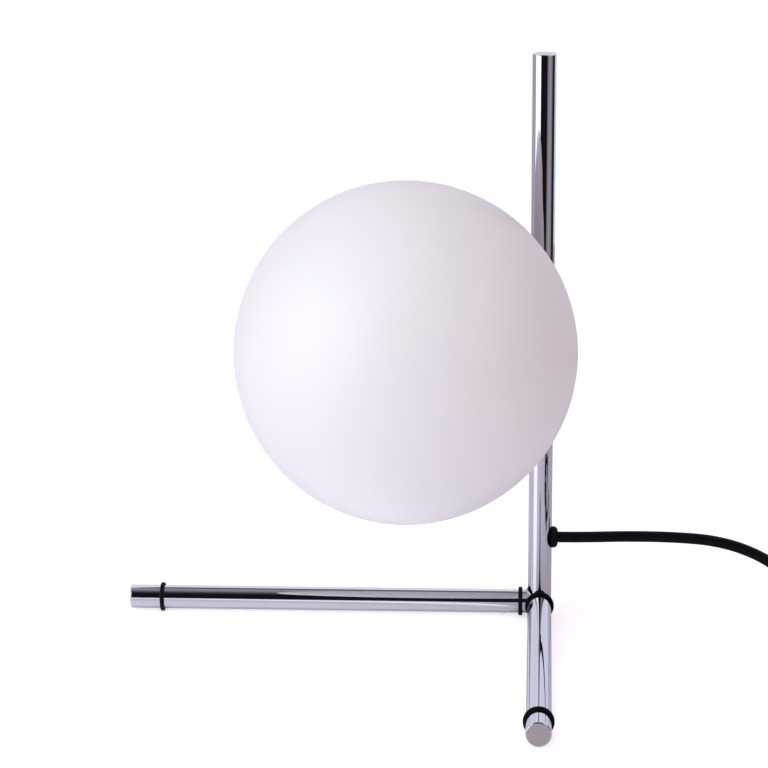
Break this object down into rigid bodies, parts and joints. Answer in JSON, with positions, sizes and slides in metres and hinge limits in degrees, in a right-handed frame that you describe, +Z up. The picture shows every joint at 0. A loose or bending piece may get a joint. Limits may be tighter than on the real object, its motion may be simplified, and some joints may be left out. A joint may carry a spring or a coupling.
{
  "type": "glass globe table lamp",
  "caption": "Table lamp with an opal glass globe screwed beside the stem of a three-tube chrome frame, on rubber foot rings, with a black cord, inline switch and earthed plug.",
  "frame": {"origin": "on the table, under the middle of the lamp's box without its cord", "axes": "+Z up along the stem, +X to the right, away from the left bar and the way the cord leaves, +Y to the back, away from the front bar"},
  "size_m": [0.5963, 0.2818, 0.385],
  "materials": {
    "chrome": "mirror polished chrome plating",
    "black_rubber": "matt black rubber",
    "opal_glass": "satin opal white blown glass",
    "clear_glass": "clear",
    "black_plastic": "fine matt",
    "white_plastic": "satin white",
    "ceramic": "unglazed",
    "brass": "plain turned brass",
    "plated_steel": "zinc plated",
    "nickel": "nickel plated",
    "brown_core": "insulated core",
    "blue_core": "insulated core",
    "earth_core": "insulated core",
    "cord_sheath": "satin black sheath"
  },
  "bodies": {
    "frame": {"stem_tube": "chrome", "left_bar_tube": "chrome", "front_bar_tube": "chrome", "stem_top_cap": "chrome", "left_end_cap": "chrome", "front_end_cap": "chrome", "corner_joint": "plated_steel", "corner_set_screws": "plated_steel", "foot_ring_left_outer": "black_rubber", "foot_ring_left_inner": "black_rubber", "foot_ring_front_outer": "black_rubber", "foot_ring_front_inner": "black_rubber", "stem_insert": "brass", "threaded_nipple": "plated_steel", "stem_saddle": "chrome", "globe_fitter": "chrome", "holder_bridge": "plated_steel", "nipple_nut": "plated_steel", "earth_tag": "brass", "lamp_holder": "ceramic", "holder_contacts": "nickel", "holder_screws": "plated_steel", "cord_grommet": "black_rubber", "live_lead": "brown_core", "earth_lead": "earth_core", "neutral_lead": "blue_core", "mains_cord_lead": "cord_sheath", "mains_cord_link": "cord_sheath", "mains_cord_tail": "cord_sheath", "mains_cord_coil": "cord_sheath", "switch_base": "black_plastic", "switch_cover": "black_plastic", "switch_screws": "plated_steel", "switch_terminals": "brass", "plug_body": "black_plastic", "plug_pins": "nickel", "plug_earth_clips": "nickel"},
    "seal": {"globe_seal": "black_rubber"},
    "globe": {"glass_globe": "opal_glass", "globe_collar": "white_plastic"},
    "bulb": {"bulb_capsule": "clear_glass", "bulb_base": "ceramic", "bulb_pins": "nickel"},
    "rocker": {"switch_rocker": "black_plastic"}
  },
  "joints": [
    {"name": "seal_lift", "type": "slide", "parent": "frame", "child": "seal", "axis": [-0.7071, -0.7071, 0], "range_m": [0, 0.008]},
    {"name": "globe_unscrew", "type": "hinge", "parent": "seal", "child": "globe", "pos_m": [0.1183, 0.1033, 0.205], "axis": [-0.7071, -0.7071, 0], "range_deg": [0, 720]},
    {"name": "bulb_pull", "type": "slide", "parent": "frame", "child": "bulb", "axis": [-0.7071, -0.7071, 0], "range_m": [0, 0.0125]},
    {"name": "rocker_tilt", "type": "hinge", "parent": "frame", "child": "rocker", "pos_m": [0.32049, -0.00851, 0.0145], "axis": [1, 0, 0], "range_deg": [0, 16]}
  ],
  "couplings": [
    {"joint": "seal_lift", "follows": "globe_unscrew", "m_per_rad": 0.00063662}
  ]
}
